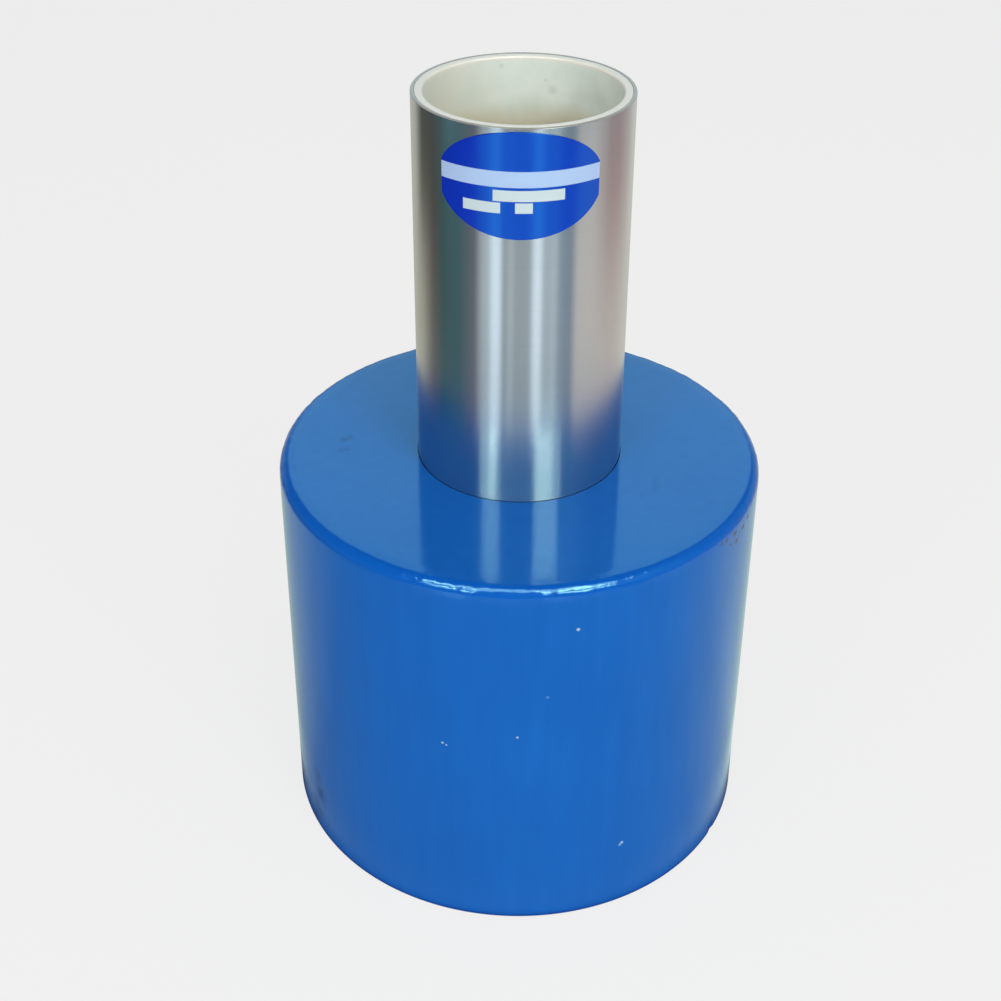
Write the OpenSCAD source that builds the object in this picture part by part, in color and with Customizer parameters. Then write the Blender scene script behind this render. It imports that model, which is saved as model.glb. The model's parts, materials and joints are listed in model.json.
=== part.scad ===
// Test anvil for a concrete rebound hammer: a heavy round block with a hardened core,
// and a lift-off guide tube that holds the hammer square over the core.
// Origin: centre of the underside. +Z is up. Millimetres.

/* [Anvil block] */
// Diameter of the block
block_d = 160; // [120:1:200]
// Height of the block
block_h = 136; // [115:1:180]
// Radius of the rounded top edge
block_edge_r = 3.5; // [1:0.1:8]
// Chamfer round the foot
block_foot_chamfer = 0.8; // [0.3:0.1:3]

/* [Guide tube] */
// Bore of the plastic liner, which guides the hammer's casing
liner_bore = 60; // [54:0.5:72]
// Wall of the plastic liner
liner_wall = 2.6; // [2:0.1:5]
// Wall of the metal tube round the liner
tube_wall = 1.1; // [0.8:0.1:2]
// Length of the tube that stands above the block
tube_show = 125; // [80:1:180]
// Rounding of the metal tube's rim
tube_rim_r = 0.3; // [0.1:0.05:0.6]
// Rounding of the liner's mouth
liner_mouth_r = 0.8; // [0.3:0.1:1]
// Glue line between liner and tube, and between nameplate and tube
glue_line = 0.05; // [0.02:0.01:0.1]

/* [Seat of the tube in the block] */
// Depth of the seat
seat_depth = 17; // [12:0.5:30]
// Radial running clearance of the tube in the seat
seat_gap = 0.1; // [0.05:0.01:0.3]
// Chamfer round the mouth of the seat
seat_mouth_chamfer = 0.5; // [0.2:0.1:1.5]
// Thickness of the rubber grip ring
ring_t = 2.6; // [2:0.1:4]
// Depth of the grip ring's centre below the top of the block
ring_drop = 8; // [4:0.5:9]
// Clearance between the grip ring and the tube
ring_gap = 0.05; // [0.02:0.01:0.2]
// Clearance round the grip ring in its groove
ring_groove_gap = 0.1; // [0.05:0.05:0.4]

/* [Striking core] */
// Diameter of the core
core_d = 50; // [30:1:54]
// Height of the core
core_h = 60; // [45:1:75]
// Radial clearance of the core in the block
core_gap = 0.03; // [0.02:0.01:0.1]
// Chamfer round both ends of the core
core_chamfer = 1; // [0.3:0.1:2]

/* [Core screw] */
// Thread diameter of the screw
bolt_d = 12; // [8:1:16]
// Diameter of the screw's head
bolt_head_d = 18; // [17:0.5:26]
// Height of the screw's head
bolt_head_h = 12; // [7:0.5:16]
// Width across the flats of the hex socket
bolt_socket_w = 10; // [6:1:12]
// Depth of the hex socket
bolt_socket_depth = 6; // [3:0.5:6.5]
// Chamfer of the screw's head and tip
bolt_chamfer = 1; // [0.4:0.1:1.5]
// Length of thread in the core
thread_engagement = 21; // [14:1:30]
// Radial clearance drawn between the plain screw and the plain tapped hole
thread_gap = 0.05; // [0.02:0.01:0.2]
// Depth of the tapped hole past the screw's tip
tap_spare = 4; // [1:0.5:8]
// Radial clearance of the screw in the block
bolt_hole_gap = 0.5; // [0.3:0.1:1.5]
// Radial clearance round the screw's head in its pocket
head_pocket_gap = 1; // [0.5:0.1:4]
// Depth of the head's face above the underside
head_sink = 3; // [1:0.5:6]
// Thickness of the spring washer
washer_t = 2.5; // [1.5:0.1:4]
// Radial clearance of the washer round the screw
washer_gap = 0.3; // [0.1:0.05:0.6]
// Width of the washer's slit
washer_slit = 1; // [0.5:0.1:2]

/* [Nameplate] */
// Width between the cut ends, measured round the tube
plate_w = 50; // [36:0.5:52]
// Width of the full oval before its ends are cut
plate_oval_w = 52.6; // [52.5:0.1:60]
// Height of the nameplate
plate_h = 32.8; // [20:0.2:44]
// Distance from the tube's rim to the top of the nameplate
plate_drop = 1; // [0.5:0.5:30]
// Thickness of the nameplate
plate_t = 0.4; // [0.2:0.05:0.8]

/* [Hidden] */
$fn = 96;
past = 1; // how far a cutter runs past the face it cuts

block_r = block_d / 2;
liner_bore_r = liner_bore / 2;
liner_r = liner_bore_r + liner_wall;
tube_inner_r = liner_r + glue_line;
tube_r = tube_inner_r + tube_wall;
core_r = core_d / 2;
bolt_r = bolt_d / 2;
head_r = bolt_head_d / 2;
seat_r = tube_r + seat_gap;

seat_floor_z = block_h - seat_depth;
core_bottom_z = seat_floor_z - core_h;
head_under_z = head_sink + bolt_head_h;
pocket_roof_z = head_under_z + washer_t;
bolt_tip_z = core_bottom_z + thread_engagement;
rim_z = block_h + tube_show;

ring_z = block_h - ring_drop;
ring_centre_r = tube_r + ring_gap + ring_t / 2;
groove_r = ring_centre_r + ring_t / 2 + ring_groove_gap;
groove_h = ring_t + 2 * ring_groove_gap;

plate_inner_r = tube_r + glue_line;
plate_outer_r = plate_inner_r + plate_t;
plate_z = rim_z - plate_drop - plate_h / 2;
plate_arc_steps = 24;
corner_steps = 8;
// Angle on the oval at which its curve meets a cut end
plate_cut_angle = acos(plate_w / plate_oval_w);

// Quarter circle that rounds the upper corner at [r, z], from the wall to the top face.
// side is 1 for an outer corner and -1 for an inner one.
function corner_arc(r, z, radius, side) =
    [for (i = [0 : corner_steps])
        let (angle = 90 * i / corner_steps)
        [r - side * radius * (1 - cos(angle)), z - radius * (1 - sin(angle))]];

// Half section of a round bar from z0 to z1, with both ends chamfered
module bar_section(r, z0, z1, chamfer0, chamfer1) {
    polygon([[0, z0], [r - chamfer0, z0], [r, z0 + chamfer0],
             [r, z1 - chamfer1], [r - chamfer1, z1], [0, z1]]);
}

// Half section of a washer or sleeve from z0 to z1
module ring_section(inner, outer, z0, z1) {
    translate([inner, z0]) square([outer - inner, z1 - z0]);
}

module block_section() {
    polygon(concat([[0, 0], [block_r - block_foot_chamfer, 0], [block_r, block_foot_chamfer]],
                   corner_arc(block_r, block_h, block_edge_r, 1), [[0, block_h]]));
}

// Everything that is bored or turned out of the block, as half sections
module block_bores_section() {
    // Seat of the guide tube and the chamfer of its mouth
    translate([0, seat_floor_z]) square([seat_r, seat_depth + past]);
    polygon([[0, block_h - seat_mouth_chamfer], [seat_r, block_h - seat_mouth_chamfer],
             [seat_r + seat_mouth_chamfer, block_h], [seat_r + seat_mouth_chamfer, block_h + past],
             [0, block_h + past]]);
    // Groove of the grip ring
    translate([0, ring_z - groove_h / 2]) square([groove_r, groove_h]);
    // Bore of the striking core
    translate([0, core_bottom_z]) square([core_r + core_gap, core_h + past]);
    // Clearance hole and head pocket of the core screw
    square([bolt_r + bolt_hole_gap, core_bottom_z + past]);
    translate([0, -past]) square([head_r + head_pocket_gap, pocket_roof_z + past]);
}

module anvil_block() {
    color("royalblue") rotate_extrude()
        difference() {
            block_section();
            block_bores_section();
        }
}

module striking_core() {
    color("gainsboro") rotate_extrude()
        difference() {
            bar_section(core_r, core_bottom_z, seat_floor_z, core_chamfer, core_chamfer);
            translate([0, core_bottom_z - past])
                square([bolt_r + thread_gap, past + thread_engagement + tap_spare]);
        }
}

module core_bolt() {
    color("dimgray") difference() {
        rotate_extrude() {
            bar_section(head_r, head_sink, head_under_z, bolt_chamfer, 0);
            bar_section(bolt_r, head_under_z - past, bolt_tip_z, 0, bolt_chamfer);
        }
        translate([0, 0, head_sink - past])
            linear_extrude(bolt_socket_depth + past) circle(d = bolt_socket_w / cos(30), $fn = 6);
    }
}

module core_lock_washer() {
    color("slategray") difference() {
        rotate_extrude() ring_section(bolt_r + washer_gap, head_r, head_under_z, pocket_roof_z);
        translate([0, -washer_slit / 2, head_under_z - past])
            cube([head_r + past, washer_slit, washer_t + 2 * past]);
    }
}

module grip_ring() {
    color("black") rotate_extrude()
        translate([ring_centre_r, ring_z]) circle(d = ring_t);
}

module guide_tube() {
    color("silver") rotate_extrude()
        polygon(concat([[tube_inner_r, seat_floor_z], [tube_r, seat_floor_z]],
                       corner_arc(tube_r, rim_z, tube_rim_r, 1), [[tube_inner_r, rim_z]]));
}

module guide_liner() {
    color("cornsilk") rotate_extrude()
        polygon(concat([[liner_r, seat_floor_z], [liner_bore_r, seat_floor_z]],
                       corner_arc(liner_bore_r, rim_z, liner_mouth_r, -1), [[liner_r, rim_z]]));
}

// A point of the oval, wrapped round the tube and seen from the front
function plate_point(angle) =
    let (round_mm = plate_oval_w / 2 * cos(angle))
    [plate_outer_r * sin(round_mm / plate_outer_r * 180 / PI), plate_h / 2 * sin(angle)];

// One of the oval's two curves between its cut ends
function plate_curve(start) =
    [for (i = [0 : plate_arc_steps])
        plate_point(start + plate_cut_angle + (180 - 2 * plate_cut_angle) * i / plate_arc_steps)];

module nameplate() {
    color("mediumblue") intersection() {
        translate([0, 0, plate_z - plate_h]) difference() {
            cylinder(r = plate_outer_r, h = 2 * plate_h);
            translate([0, 0, -past]) cylinder(r = plate_inner_r, h = 2 * plate_h + 2 * past);
        }
        translate([0, 0, plate_z]) rotate([90, 0, 0])
            linear_extrude(plate_outer_r + past) polygon(concat(plate_curve(0), plate_curve(180)));
    }
}

anvil_block();
striking_core();
core_bolt();
core_lock_washer();
grip_ring();
guide_tube();
guide_liner();
nameplate();
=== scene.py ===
# Looks of a test anvil for a concrete rebound hammer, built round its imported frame. Metres.
import json
import math

import bmesh
import bpy
from mathutils import Matrix, Vector, noise


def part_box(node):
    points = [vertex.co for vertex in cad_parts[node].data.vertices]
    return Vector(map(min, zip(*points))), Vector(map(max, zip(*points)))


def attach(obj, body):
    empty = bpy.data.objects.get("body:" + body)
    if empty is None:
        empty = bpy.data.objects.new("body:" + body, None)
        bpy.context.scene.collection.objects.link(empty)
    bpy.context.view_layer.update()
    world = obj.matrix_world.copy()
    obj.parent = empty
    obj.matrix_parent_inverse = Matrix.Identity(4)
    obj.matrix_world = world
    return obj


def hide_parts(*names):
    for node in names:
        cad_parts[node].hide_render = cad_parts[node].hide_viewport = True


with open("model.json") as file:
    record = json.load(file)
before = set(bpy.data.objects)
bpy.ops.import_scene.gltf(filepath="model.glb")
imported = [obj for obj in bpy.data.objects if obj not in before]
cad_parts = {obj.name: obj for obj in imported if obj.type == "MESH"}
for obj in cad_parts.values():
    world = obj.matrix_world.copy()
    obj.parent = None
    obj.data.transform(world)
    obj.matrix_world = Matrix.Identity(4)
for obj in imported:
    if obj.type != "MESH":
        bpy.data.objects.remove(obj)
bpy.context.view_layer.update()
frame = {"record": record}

MM = 0.001

# Camera. Its place and lens were fitted to the outlines of the block, the tube and its rim.
PHOTO_SIDE = 1001
FOCAL_PIXELS = 1588
AXIS_ABOVE_MIDDLE = 120  # pixels: the photograph is cropped so that the lens axis lies above its middle
SENSOR_MM = 36
CAMERA_AZIMUTH = 2.15  # degrees from -Y towards +X
CAMERA_ELEVATION = 29.73
CAMERA_ROLL = 0.32
CAMERA_DISTANCE = 520.4 * MM
AIM_SIDE = -6.35 * MM  # the point aimed at, along the camera's right
AIM_HEIGHT = 161.1 * MM

# How finely the meshes are drawn
SEGMENTS = 360  # round the large turned pieces
SMALL_SEGMENTS = 120  # round the screw, whose hexagon needs a multiple of 6
ARC_STEPS = 8  # along a rounded corner
BLOCK_ARC_STEPS = 14
WASHER_ARC_STEPS = 3
SHARP_ANGLE = 35
MERGE_DISTANCE = 1e-7

# Sizes that the frame's boxes don't give
SMALL_BREAK = 0.2 * MM  # broken edge on turned pieces
BLOCK_EDGE_R = 3.5 * MM
FOOT_CHAMFER = 0.8 * MM
SEAT_GAP = 0.1 * MM
SEAT_MOUTH_CHAMFER = 0.12 * MM  # less than the bare block's, because the enamel fills the rest
SEAT_MOUTH_R = 0.05 * MM
GROOVE_GAP = 0.1 * MM
CORE_GAP = 0.03 * MM
CORE_CHAMFER = 1.0 * MM
BOLT_HOLE_GAP = 0.5 * MM
HEAD_POCKET_GAP = 1.0 * MM
HEAD_HEIGHT = 12 * MM
BOLT_R = 6 * MM
BOLT_CHAMFER = 1.0 * MM
SOCKET_WIDTH = 10 * MM
SOCKET_DEPTH = 6 * MM
THREAD_PITCH = 1.75 * MM
THREAD_DEPTH = 1.0 * MM
THREAD_START = 38 * MM  # height at which the thread leaves the plain shank
THREAD_GAP = 0.05 * MM
TAP_SPARE = 4 * MM
TAP_MOUTH_R = 0.3 * MM
WASHER_GAP = 0.3 * MM
WASHER_SLIT = 1.0 * MM
TUBE_WALL = 1.1 * MM
TUBE_RIM_R = 0.3 * MM
LINER_MOUTH_R = 0.8 * MM
OVAL_HALF_WIDTH = 26.3 * MM
PLATE_THICKNESS = 0.4 * MM


def box_radius(node_name):
    """Outer radius of a node that is round about the Z axis."""
    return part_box(node_name)[1].x


def box_heights(node_name):
    """Lowest and highest point of a node."""
    low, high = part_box(node_name)
    return low.z, high.z


def mount(name):
    """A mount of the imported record."""
    return next(m for m in frame["record"]["mounts"] if m["name"] == name)


BLOCK_R = box_radius("anvil_block")
BLOCK_TOP = box_heights("anvil_block")[1]
TUBE_R = box_radius("guide_tube")
SEAT_FLOOR, RIM = box_heights("guide_tube")
SEAT_R = TUBE_R + SEAT_GAP
LINER_R = box_radius("guide_liner")
BORE_R = mount("guide_bore")["dims"]["r_mm"] * MM
CORE_R = box_radius("striking_core")
CORE_BOTTOM, CORE_TOP = box_heights("striking_core")
HEAD_R = box_radius("core_bolt")
BOLT_BOTTOM, BOLT_TIP = box_heights("core_bolt")
HEAD_UNDER = BOLT_BOTTOM + HEAD_HEIGHT
WASHER_BOTTOM, WASHER_TOP = box_heights("core_lock_washer")
RING_OUTER_R = box_radius("grip_ring")
RING_BOTTOM, RING_TOP = box_heights("grip_ring")
RING_CENTRE = (RING_BOTTOM + RING_TOP) / 2
RING_HALF = (RING_TOP - RING_BOTTOM) / 2
PLATE_BOTTOM, PLATE_TOP = box_heights("nameplate")
PLATE_CENTRE = (PLATE_TOP + PLATE_BOTTOM) / 2
PLATE_R = -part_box("nameplate")[0].y
PLATE_HALF_WIDTH = PLATE_R * math.asin(box_radius("nameplate") / PLATE_R)


def direction(azimuth, elevation=0.0):
    """Level or raised unit vector: degrees from -Y towards +X, and degrees above the horizon."""
    turn = math.radians(azimuth)
    rise = math.radians(elevation)
    level = math.cos(rise)
    return Vector((math.sin(turn) * level, -math.cos(turn) * level, math.sin(rise)))


def make_camera():
    """Camera in the place of the photograph's."""
    azimuth = math.radians(CAMERA_AZIMUTH)
    roll = math.radians(CAMERA_ROLL)
    back = direction(CAMERA_AZIMUTH, CAMERA_ELEVATION)
    right = Vector((math.cos(azimuth), math.sin(azimuth), 0))
    up = back.cross(right)
    place = right * AIM_SIDE + Vector((0, 0, AIM_HEIGHT)) + back * CAMERA_DISTANCE
    rolled_right = right * math.cos(roll) + up * math.sin(roll)
    rolled_up = up * math.cos(roll) - right * math.sin(roll)
    data = bpy.data.cameras.new("camera")
    data.sensor_width = SENSOR_MM
    data.lens = FOCAL_PIXELS / PHOTO_SIDE * SENSOR_MM
    data.shift_y = -AXIS_ABOVE_MIDDLE / PHOTO_SIDE
    camera = bpy.data.objects.new("camera", data)
    bpy.context.scene.collection.objects.link(camera)
    turn = Matrix((rolled_right, rolled_up, back)).transposed().to_4x4()
    camera.matrix_world = Matrix.Translation(place) @ turn
    bpy.context.scene.camera = camera


# Meshes

def rounded_outline(corners, steps=ARC_STEPS):
    """Closed outline of (radius, height) points from corners (radius, height, rounding)."""
    outline = []
    for i, (r, z, rounding) in enumerate(corners):
        corner = Vector((r, z))
        if rounding == 0:
            outline.append(corner)
            continue
        before = (Vector(corners[i - 1][:2]) - corner).normalized()
        after = (Vector(corners[(i + 1) % len(corners)][:2]) - corner).normalized()
        half = before.angle(after) / 2
        middle = corner + (before + after).normalized() * rounding / math.sin(half)
        start = corner + before * rounding / math.tan(half) - middle
        end = corner + after * rounding / math.tan(half) - middle
        sweep = math.pi - 2 * half
        for step in range(steps + 1):
            share = step / steps
            spoke = (start * math.sin((1 - share) * sweep) + end * math.sin(share * sweep)) / math.sin(sweep)
            outline.append(middle + spoke)
    return outline


def new_object(name, bm):
    """Object from a finished bmesh, with smooth faces and sharp edges where it turns a corner."""
    bmesh.ops.remove_doubles(bm, verts=bm.verts, dist=MERGE_DISTANCE)
    bmesh.ops.recalc_face_normals(bm, faces=bm.faces)
    mesh = bpy.data.meshes.new(name)
    bm.to_mesh(mesh)
    bm.free()
    mesh.shade_smooth()
    mesh.set_sharp_from_angle(angle=math.radians(SHARP_ANGLE))
    made = bpy.data.objects.new(name, mesh)
    bpy.context.scene.collection.objects.link(made)
    return made


def turned(name, rings, closed=True, segments=SEGMENTS):
    """Piece turned round the Z axis. Each ring is (radius, height), its radius a number or a rule of
    the angle. The last ring joins the first one where closed is set."""
    bm = bmesh.new()
    loops = []
    for radius, z in rings:
        loop = []
        for i in range(segments):
            angle = 2 * math.pi * i / segments
            r = radius(angle) if callable(radius) else radius
            loop.append(bm.verts.new((r * math.cos(angle), r * math.sin(angle), z)))
        loops.append(loop)
    last = len(loops) if closed else len(loops) - 1
    for k in range(last):
        lower, upper = loops[k], loops[(k + 1) % len(loops)]
        for i in range(segments):
            j = (i + 1) % segments
            bm.faces.new((lower[i], lower[j], upper[j], upper[i]))
    return new_object(name, bm)


# Waves of the thick enamel on the block's rounded top edge: scale of the noise, its offset, and height
RIPPLE_WAVES = [(60, (0, 0, 0), 0.16 * MM), (190, (7, 3, 1), 0.13 * MM), (400, (2, 5, 8), 0.12 * MM)]
RIPPLE_SINK = 0.22 * MM  # how far the edge is sunk where the waves are at their middle
RIPPLE_CREST = 0.3  # depth at which they are strongest, over the edge's radius
RIPPLE_FADE = 0.6  # width of the strip of the top face on which they die away, over the edge's radius


def edge_ripple(point):
    """Height of the enamel's waves at a point of the block's edge."""
    return sum(height * noise.noise(point * scale + Vector(offset)) for scale, offset, height in RIPPLE_WAVES)


def add_ripple(block):
    """Makes the rounded top edge of the block slightly uneven, as thick enamel is. The waves die away on
    the top face and on the wall."""
    crest = BLOCK_TOP - BLOCK_EDGE_R * RIPPLE_CREST
    for vertex in block.data.vertices:
        x, y, z = vertex.co
        r = math.hypot(x, y)
        below = max(0.0, abs(z - crest) / BLOCK_EDGE_R)
        inside = max(0.0, (BLOCK_R - BLOCK_EDGE_R - r) / (RIPPLE_FADE * BLOCK_EDGE_R))
        on_edge = max(0.0, 1 - below) * max(0.0, 1 - inside)
        if on_edge == 0:
            continue
        sink = max(0.0, RIPPLE_SINK - edge_ripple(vertex.co)) * on_edge
        outward = Vector((x / r, y / r, 1)).normalized()
        vertex.co -= outward * sink


NICK_AZIMUTH = 62  # degrees from -Y towards +X
NICK_HEIGHT = 2 * MM
NICK_WIDTH = 3.0 * MM
NICK_DEPTH = 0.9 * MM


def add_foot_nick(block):
    """A knock in the foot's edge."""
    centre = direction(NICK_AZIMUTH) * BLOCK_R + Vector((0, 0, NICK_HEIGHT))
    for vertex in block.data.vertices:
        x, y, z = vertex.co
        if math.hypot(x, y) < BLOCK_R - NICK_WIDTH:
            continue
        near = max(0.0, 1 - (vertex.co - centre).length / NICK_WIDTH)
        vertex.co -= Vector((x, y, 0)).normalized() * NICK_DEPTH * near * near


# Rows of points up the block's wall, in mm: close together at the foot, where it has its knock
FOOT_ROWS = (1.5, 2.2, 3, 4, 5, 7, 10)
# Rows beside the rounded edge, over its radius, which keep its waves off the wall and the top face
ROWS_BELOW_EDGE = (2.0, 1.6, 1.3)
ROWS_INSIDE_EDGE = (1.2, 1.4, 1.6, 1.8, 2.2)


def make_block():
    groove_half = RING_HALF + GROOVE_GAP
    groove_r = RING_OUTER_R + GROOVE_GAP
    mouth = SEAT_MOUTH_CHAMFER
    core_bore = CORE_R + CORE_GAP
    pocket_r = HEAD_R + HEAD_POCKET_GAP
    hole_r = BOLT_R + BOLT_HOLE_GAP
    corners = [
        (pocket_r, 0, SMALL_BREAK),
        (BLOCK_R - FOOT_CHAMFER, 0, SMALL_BREAK),
        (BLOCK_R, FOOT_CHAMFER, SMALL_BREAK)]
    corners += [(BLOCK_R, height * MM, 0) for height in FOOT_ROWS]
    corners += [(BLOCK_R, BLOCK_TOP - share * BLOCK_EDGE_R, 0) for share in ROWS_BELOW_EDGE]
    corners += [(BLOCK_R, BLOCK_TOP, BLOCK_EDGE_R)]
    corners += [(BLOCK_R - share * BLOCK_EDGE_R, BLOCK_TOP, 0) for share in ROWS_INSIDE_EDGE]
    corners += [
        (SEAT_R + mouth, BLOCK_TOP, SEAT_MOUTH_R),
        (SEAT_R, BLOCK_TOP - mouth, 0),
        (SEAT_R, RING_CENTRE + groove_half, 0),
        (groove_r, RING_CENTRE + groove_half, 0),
        (groove_r, RING_CENTRE - groove_half, 0),
        (SEAT_R, RING_CENTRE - groove_half, 0),
        (SEAT_R, SEAT_FLOOR, 0),
        (core_bore, SEAT_FLOOR, 0),
        (core_bore, CORE_BOTTOM, 0),
        (hole_r, CORE_BOTTOM, 0),
        (hole_r, WASHER_TOP, 0),
        (pocket_r, WASHER_TOP, 0)]
    block = turned("enamelled_block", rounded_outline(corners, BLOCK_ARC_STEPS), segments=2 * SEGMENTS)
    add_ripple(block)
    add_foot_nick(block)
    block.data.materials.append(enamel_material())
    block.data.materials.append(machined_material())
    # The seat, its groove, the core's bore and the screw's holes stay bare
    for face in block.data.polygons:
        r = math.hypot(face.center.x, face.center.y)
        in_seat = r < SEAT_R + 0.1 * mouth and face.center.z > SEAT_FLOOR - SMALL_BREAK
        in_groove = r < groove_r + SMALL_BREAK and abs(face.center.z - RING_CENTRE) < 2 * groove_half
        in_core_bore = r < core_bore + SMALL_BREAK and face.center.z > SMALL_BREAK
        if in_seat or in_groove or in_core_bore:
            face.material_index = 1
    return block


def make_tube():
    inner = TUBE_R - TUBE_WALL
    rings = rounded_outline([
        (inner, SEAT_FLOOR, SMALL_BREAK),
        (TUBE_R, SEAT_FLOOR, SMALL_BREAK),
        (TUBE_R, RIM, TUBE_RIM_R),
        (inner, RIM, SMALL_BREAK)])
    tube = turned("steel_tube", rings)
    tube.data.materials.append(stainless_material())
    return tube


def make_liner():
    rings = rounded_outline([
        (BORE_R, SEAT_FLOOR, SMALL_BREAK),
        (LINER_R, SEAT_FLOOR, SMALL_BREAK),
        (LINER_R, RIM, SMALL_BREAK),
        (BORE_R, RIM, LINER_MOUTH_R)])
    liner = turned("plastic_liner", rings)
    liner.data.materials.append(liner_material())
    return liner


STRIKE_MARK = [(0, -0.10), (1.0, -0.09), (1.8, -0.04), (2.3, 0.0), (2.8, 0.0)]  # mm: radius, height


def make_core():
    tap_r = BOLT_R + THREAD_GAP
    tap_top = BOLT_TIP + TAP_SPARE
    corners = [
        (tap_r, CORE_BOTTOM, TAP_MOUTH_R),
        (CORE_R - CORE_CHAMFER, CORE_BOTTOM, SMALL_BREAK),
        (CORE_R, CORE_BOTTOM + CORE_CHAMFER, SMALL_BREAK),
        (CORE_R, CORE_TOP - CORE_CHAMFER, SMALL_BREAK),
        (CORE_R - CORE_CHAMFER, CORE_TOP, SMALL_BREAK)]
    corners += [(r * MM, CORE_TOP + z * MM, 0) for r, z in reversed(STRIKE_MARK)]
    corners += [(0, tap_top, 0), (tap_r, tap_top, 0)]
    core = turned("polished_core", rounded_outline(corners))
    core.data.materials.append(hardened_material())
    return core


SOCKET_CONE = 1.2 * MM  # the drill's point past the floor of the socket
SOCKET_MOUTH = 0.5 * MM  # height of the bevel round the socket
HEAD_BEVEL = 0.4 * MM  # height of the bevel under the head
KNURL_RIDGES = 40
KNURL_DEPTH = 0.12 * MM
KNURL_INSET = 0.15 * MM  # how far the plain borders of the knurl lie inside the head's radius
KNURL_RUN_OUT = 0.2 * MM
THREAD_ROWS = 8  # rows of points in a turn of the thread
THREAD_SLOPE = 2.6  # steepness of its flanks, over its depth and pitch
THREAD_FLAT = 0.15  # share of the depth by which its crest and its root are cut flat
TIP_BEVEL = 0.4 * MM
TIP_INSET = 1.5 * MM


def hexagon(angle):
    """Radius of the screw's hexagonal socket at an angle."""
    sixth = math.pi / 3
    return SOCKET_WIDTH / 2 / math.cos(angle % sixth - sixth / 2)


def knurl(angle):
    """Radius of the screw head's knurled side at an angle."""
    return HEAD_R - KNURL_DEPTH * abs(math.sin(angle * KNURL_RIDGES / 2))


def thread_rule(z):
    """Radius of the screw's thread at height z, as a rule of the angle."""
    def radius(angle):
        turn = (z / THREAD_PITCH - angle / (2 * math.pi)) % 1
        cut = min(1.0, max(0.0, THREAD_SLOPE * abs(turn - 0.5) - THREAD_FLAT))
        return BOLT_R - THREAD_DEPTH * cut
    return radius


def make_bolt():
    socket_rim = SOCKET_WIDTH / 2 / math.cos(math.pi / 6) + SMALL_BREAK
    socket_floor = BOLT_BOTTOM + SOCKET_DEPTH
    knurl_start = BOLT_BOTTOM + BOLT_CHAMFER
    knurl_end = HEAD_UNDER - HEAD_BEVEL
    rings = [
        (0, socket_floor + SOCKET_CONE),
        (hexagon, socket_floor),
        (hexagon, BOLT_BOTTOM + SOCKET_MOUTH),
        (socket_rim, BOLT_BOTTOM),
        (HEAD_R - BOLT_CHAMFER, BOLT_BOTTOM),
        (HEAD_R - KNURL_INSET, knurl_start),
        (knurl, knurl_start + KNURL_RUN_OUT),
        (knurl, knurl_end - KNURL_RUN_OUT),
        (HEAD_R - KNURL_INSET, knurl_end),
        (HEAD_R - 2 * KNURL_INSET, HEAD_UNDER),
        (BOLT_R, HEAD_UNDER),
        (BOLT_R, THREAD_START)]
    rows = int((BOLT_TIP - BOLT_CHAMFER - THREAD_START) / THREAD_PITCH * THREAD_ROWS)
    for i in range(1, rows):
        z = THREAD_START + THREAD_PITCH * i / THREAD_ROWS
        rings.append((thread_rule(z), z))
    rings += [(BOLT_R - THREAD_DEPTH, BOLT_TIP - TIP_BEVEL), (BOLT_R - TIP_INSET, BOLT_TIP), (0, BOLT_TIP)]
    bolt = turned("socket_screw", rings, closed=False, segments=SMALL_SEGMENTS)
    bolt.data.materials.append(black_oxide_material())
    return bolt


WASHER_LEAN = 0.10  # radians by which the slit leans from the lower face to the upper one


def make_washer():
    """A spring washer, flattened under the screw's head, with its slit on +X."""
    inner = BOLT_R + WASHER_GAP
    section = rounded_outline([
        (inner, WASHER_BOTTOM, SMALL_BREAK),
        (HEAD_R, WASHER_BOTTOM, SMALL_BREAK),
        (HEAD_R, WASHER_TOP, SMALL_BREAK),
        (inner, WASHER_TOP, SMALL_BREAK)], WASHER_ARC_STEPS)
    bm = bmesh.new()
    slices = []
    for i in range(SMALL_SEGMENTS + 1):
        share = i / SMALL_SEGMENTS
        cut = []
        for r, z in section:
            half_slit = math.asin(WASHER_SLIT / 2 / r)
            lean = WASHER_LEAN * (z - WASHER_BOTTOM) / (WASHER_TOP - WASHER_BOTTOM)
            angle = half_slit + lean + (2 * math.pi - 2 * half_slit) * share
            cut.append(bm.verts.new((r * math.cos(angle), r * math.sin(angle), z)))
        slices.append(cut)
    for one, two in zip(slices, slices[1:]):
        for k in range(len(section)):
            j = (k + 1) % len(section)
            bm.faces.new((one[k], one[j], two[j], two[k]))
    bm.faces.new(slices[0])
    bm.faces.new(slices[-1])
    washer = new_object("spring_washer", bm)
    washer.data.materials.append(spring_steel_material())
    return washer


RING_STEPS = 32  # round the section of the grip ring


def make_grip_ring():
    rings = []
    for k in range(RING_STEPS):
        angle = 2 * math.pi * k / RING_STEPS
        radius = RING_OUTER_R - RING_HALF + RING_HALF * math.cos(angle)
        rings.append((radius, RING_CENTRE + RING_HALF * math.sin(angle)))
    ring = turned("rubber_ring", rings)
    ring.data.materials.append(rubber_material())
    return ring


PLATE_COLUMNS = 96
PLATE_ROWS = 24
PLATE_BEVEL = 0.12 * MM


def evenly(low, high, count):
    """Numbers from low to high, in count equal steps."""
    return [low + (high - low) * i / count for i in range(count + 1)]


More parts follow.
